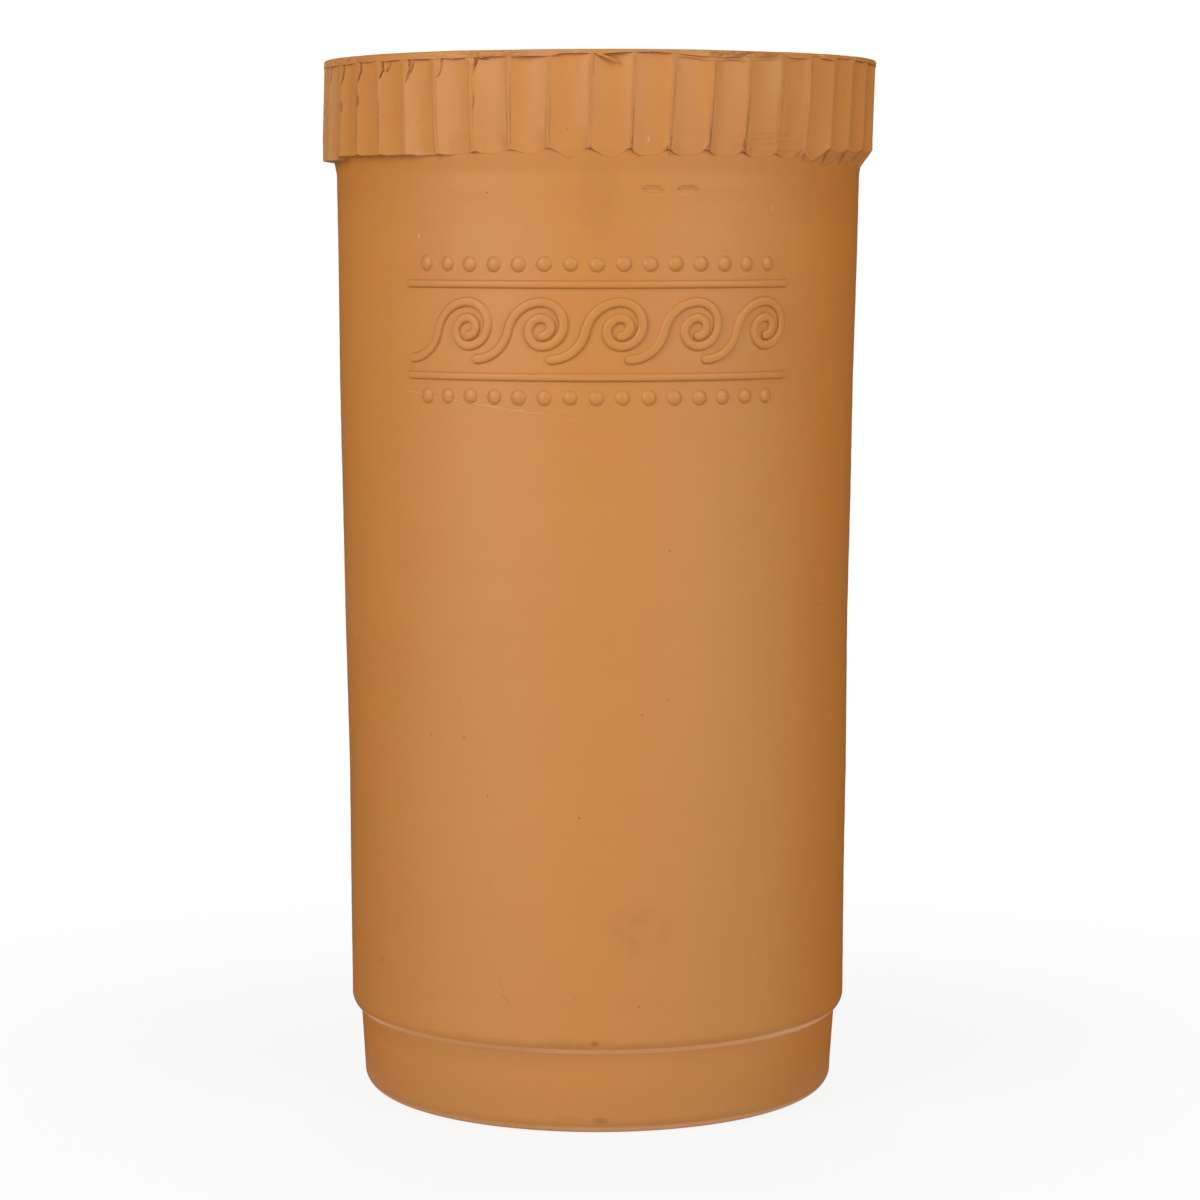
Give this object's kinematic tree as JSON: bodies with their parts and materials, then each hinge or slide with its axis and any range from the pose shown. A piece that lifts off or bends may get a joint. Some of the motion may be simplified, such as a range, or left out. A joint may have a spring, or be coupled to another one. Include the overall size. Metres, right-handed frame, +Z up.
{
  "type": "terracotta bottle cooler",
  "caption": "Open cylindrical terracotta bottle cooler with a fluted collar, a thin lip, a stepped foot and a raised band of running waves; a water bottle stands in its well.",
  "frame": {"origin": "centre of the base, on the surface that the cooler stands on", "axes": "+Z up along the well, the raised ornament faces -Y"},
  "size_m": [0.1334, 0.1334, 0.25],
  "materials": {
    "body_clay": "smooth unglazed terracotta with a faint sheen",
    "collar_clay": "unglazed terracotta, pressed and cut by hand"
  },
  "bodies": {
    "root": {"foot_cup": "body_clay", "wall_tube": "body_clay", "relief_waves": "body_clay", "relief_fillets": "body_clay", "relief_beads": "body_clay", "fluted_collar": "collar_clay", "rim_lip": "collar_clay"}
  },
  "joints": []
}
